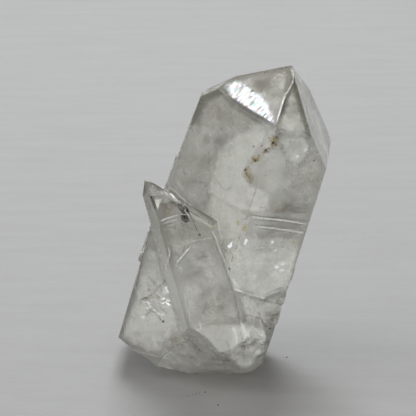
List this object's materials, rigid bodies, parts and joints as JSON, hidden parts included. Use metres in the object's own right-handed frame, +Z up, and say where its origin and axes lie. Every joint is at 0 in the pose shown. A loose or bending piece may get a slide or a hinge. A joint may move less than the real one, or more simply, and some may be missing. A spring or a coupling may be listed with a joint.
{
  "type": "quartz crystal",
  "caption": "Clear quartz crystal specimen: a tall leaning prism with a pointed end and a shorter one grown into its front, on a rough broken base.",
  "frame": {"origin": "centre of the outer box at the level of the floor that the broken base rests on", "axes": "+Z up, -Y towards the side that the short crystal stands on, +X towards the side that the tall crystal leans to"},
  "size_m": [0.0413, 0.0322, 0.0643],
  "materials": {
    "quartz": "clear, faintly grey rock crystal with smooth faces and a rougher broken base"
  },
  "bodies": {
    "root": {"quartz_crystal": "quartz"}
  },
  "joints": []
}
